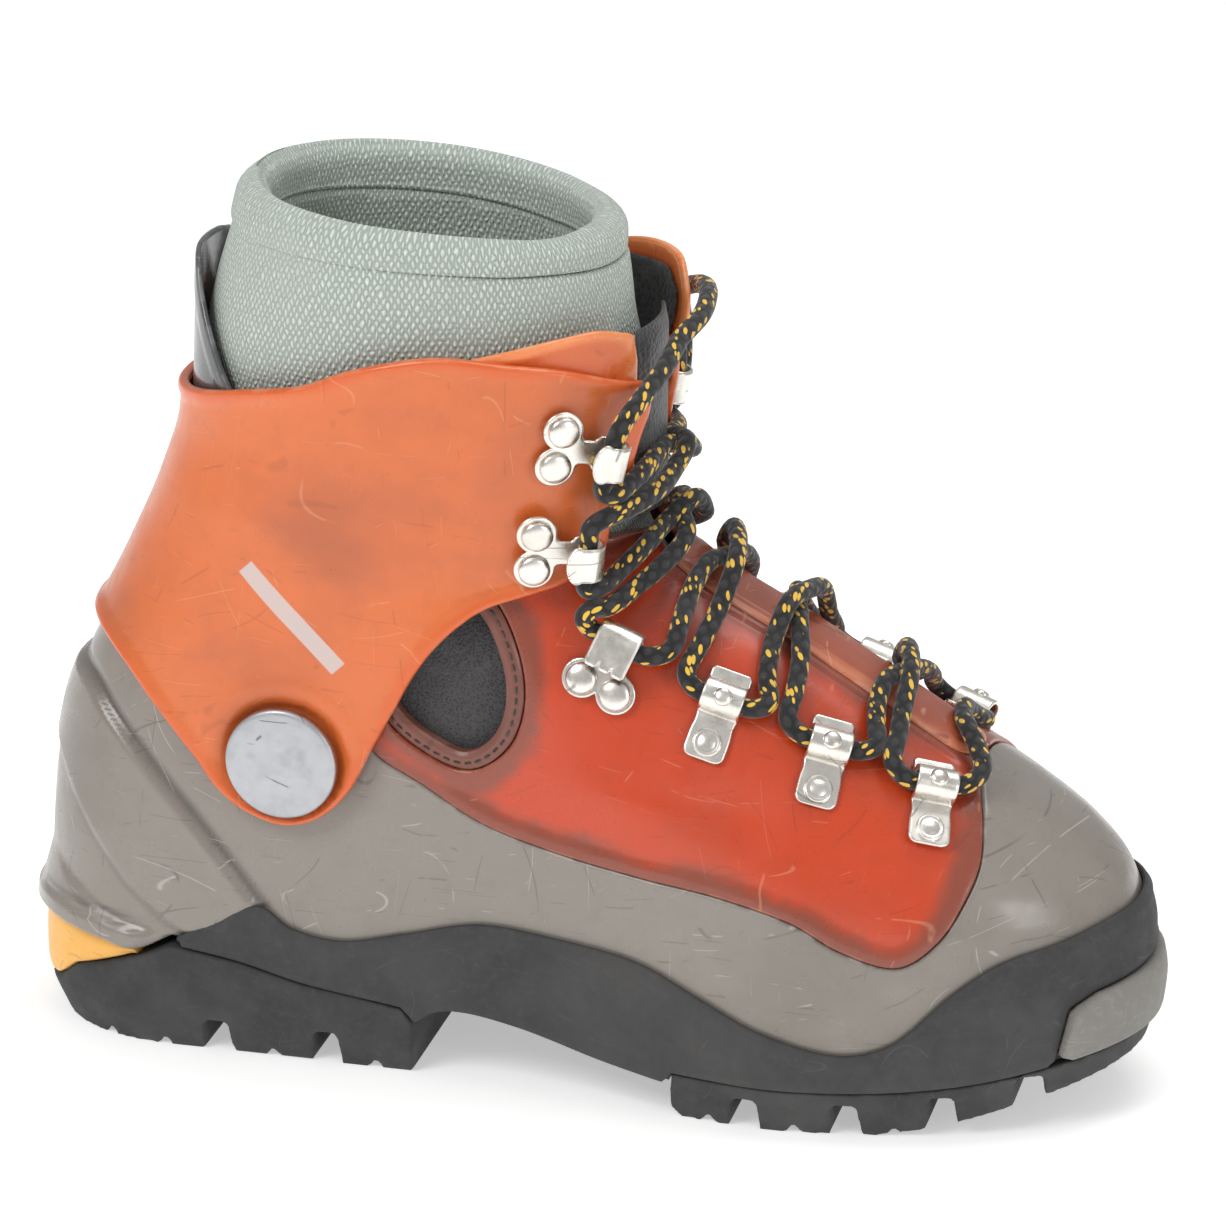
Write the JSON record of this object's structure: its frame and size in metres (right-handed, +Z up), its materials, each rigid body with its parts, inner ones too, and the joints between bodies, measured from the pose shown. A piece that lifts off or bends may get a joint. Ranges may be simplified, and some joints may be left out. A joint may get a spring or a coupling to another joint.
{
  "type": "mountaineering boot",
  "caption": "Plastic double mountaineering boot with a hinged ankle cuff, padded inner boot, lugged rubber sole, crampon ledge and lace hooks.",
  "frame": {"origin": "on the ground, under the middle of the boot's bounding box", "axes": "+X from heel to toe, +Z up, -Y towards the outer (lateral) side of the foot"},
  "size_m": [0.3254, 0.1116, 0.247],
  "materials": {
    "sole_rubber": "matte",
    "rand_rubber": "matte",
    "yellow_wedge": "satin",
    "grey_shell": "satin",
    "orange_upper": "satin",
    "orange_cuff": "satin",
    "orange_trim": "gloss",
    "grey_spoiler": "gloss",
    "black_foam": "matte",
    "black_lining": "satin",
    "liner_knit": "matte",
    "footbed_felt": "matte",
    "pivot_silver": "satin",
    "pivot_brass": "satin",
    "hook_nickel": "polished",
    "lace_cord": "matte"
  },
  "bodies": {
    "lower": {"heel_tread": "sole_rubber", "forefoot_tread": "sole_rubber", "midsole_rand": "rand_rubber", "toe_welt": "rand_rubber", "heel_wedge": "yellow_wedge", "lower_shell": "grey_shell", "instep_upper": "orange_upper", "window_trim_outer": "orange_trim", "window_trim_inner": "orange_trim", "ankle_pad_outer": "black_foam", "ankle_pad_inner": "black_foam", "shell_tongue": "grey_shell", "tongue_gusset": "black_foam", "liner_foot": "liner_knit", "footbed": "footbed_felt", "pivot_pin_outer": "hook_nickel", "pivot_pin_inner": "hook_nickel", "pivot_bush_outer": "pivot_brass", "pivot_bush_inner": "pivot_brass", "pivot_cap_outer": "pivot_silver", "pivot_cap_inner": "pivot_silver", "lace_lower": "lace_cord", "lock_hook_outer": "hook_nickel", "lock_rivet_rear_outer": "hook_nickel", "lock_rivet_front_outer": "hook_nickel", "lace_clip_top_outer": "hook_nickel", "lace_clip_middle_outer": "hook_nickel", "lace_clip_toe_outer": "hook_nickel", "lock_hook_inner": "hook_nickel", "lock_rivet_rear_inner": "hook_nickel", "lock_rivet_front_inner": "hook_nickel", "lace_clip_top_inner": "hook_nickel", "lace_clip_middle_inner": "hook_nickel", "lace_clip_toe_inner": "hook_nickel"},
    "cuff": {"cuff": "orange_cuff", "cuff_wing_outer": "orange_trim", "cuff_wing_inner": "orange_trim", "flap_lining": "black_lining", "rear_spoiler": "grey_spoiler", "tongue_upper": "black_lining", "liner_ankle": "liner_knit", "liner_shaft": "liner_knit", "liner_collar": "liner_knit", "liner_tongue": "liner_knit", "lace_upper": "lace_cord", "lace_tail_rear": "lace_cord", "lace_tail_front": "lace_cord", "cuff_hook_high_outer": "hook_nickel", "cuff_rivet_high_lower_outer": "hook_nickel", "cuff_rivet_high_upper_outer": "hook_nickel", "cuff_hook_low_outer": "hook_nickel", "cuff_rivet_low_lower_outer": "hook_nickel", "cuff_rivet_low_upper_outer": "hook_nickel", "cuff_hook_high_inner": "hook_nickel", "cuff_rivet_high_lower_inner": "hook_nickel", "cuff_rivet_high_upper_inner": "hook_nickel", "cuff_hook_low_inner": "hook_nickel", "cuff_rivet_low_lower_inner": "hook_nickel", "cuff_rivet_low_upper_inner": "hook_nickel"}
  },
  "joints": [
    {"name": "cuff_pivot", "type": "hinge", "parent": "lower", "child": "cuff", "pos_m": [-0.07548, -0.00005, 0.092], "axis": [0, 1, 0], "range_deg": [-8, 8], "deforming": ["liner_ankle", "tongue_upper", "lace_upper"]}
  ]
}
